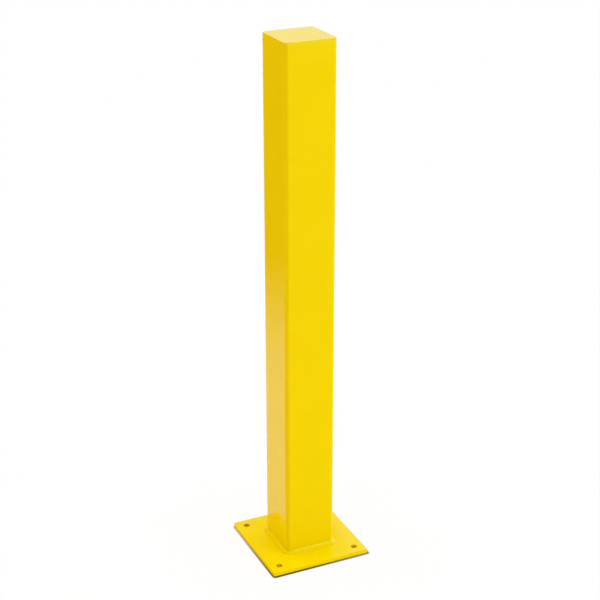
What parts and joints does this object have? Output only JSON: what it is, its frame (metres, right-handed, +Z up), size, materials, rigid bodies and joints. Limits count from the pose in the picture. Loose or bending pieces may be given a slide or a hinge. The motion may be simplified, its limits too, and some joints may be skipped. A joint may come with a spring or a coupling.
{
  "type": "steel bollard",
  "caption": "Square hollow steel post with a flush closed top, fillet-welded to a square base plate with an anchor hole near each corner; a surface-mounted guard post.",
  "frame": {"origin": "middle of the base plate's underside, on the ground", "axes": "+Z up along the post; X and Y square to the plate's sides"},
  "size_m": [0.2, 0.2, 1.013],
  "materials": {
    "yellow_coat": "glossy yellow powder coat"
  },
  "bodies": {
    "root": {"base_plate": "yellow_coat", "post_tube": "yellow_coat", "top_cap": "yellow_coat", "base_weld": "yellow_coat", "cap_weld": "yellow_coat"}
  },
  "joints": []
}
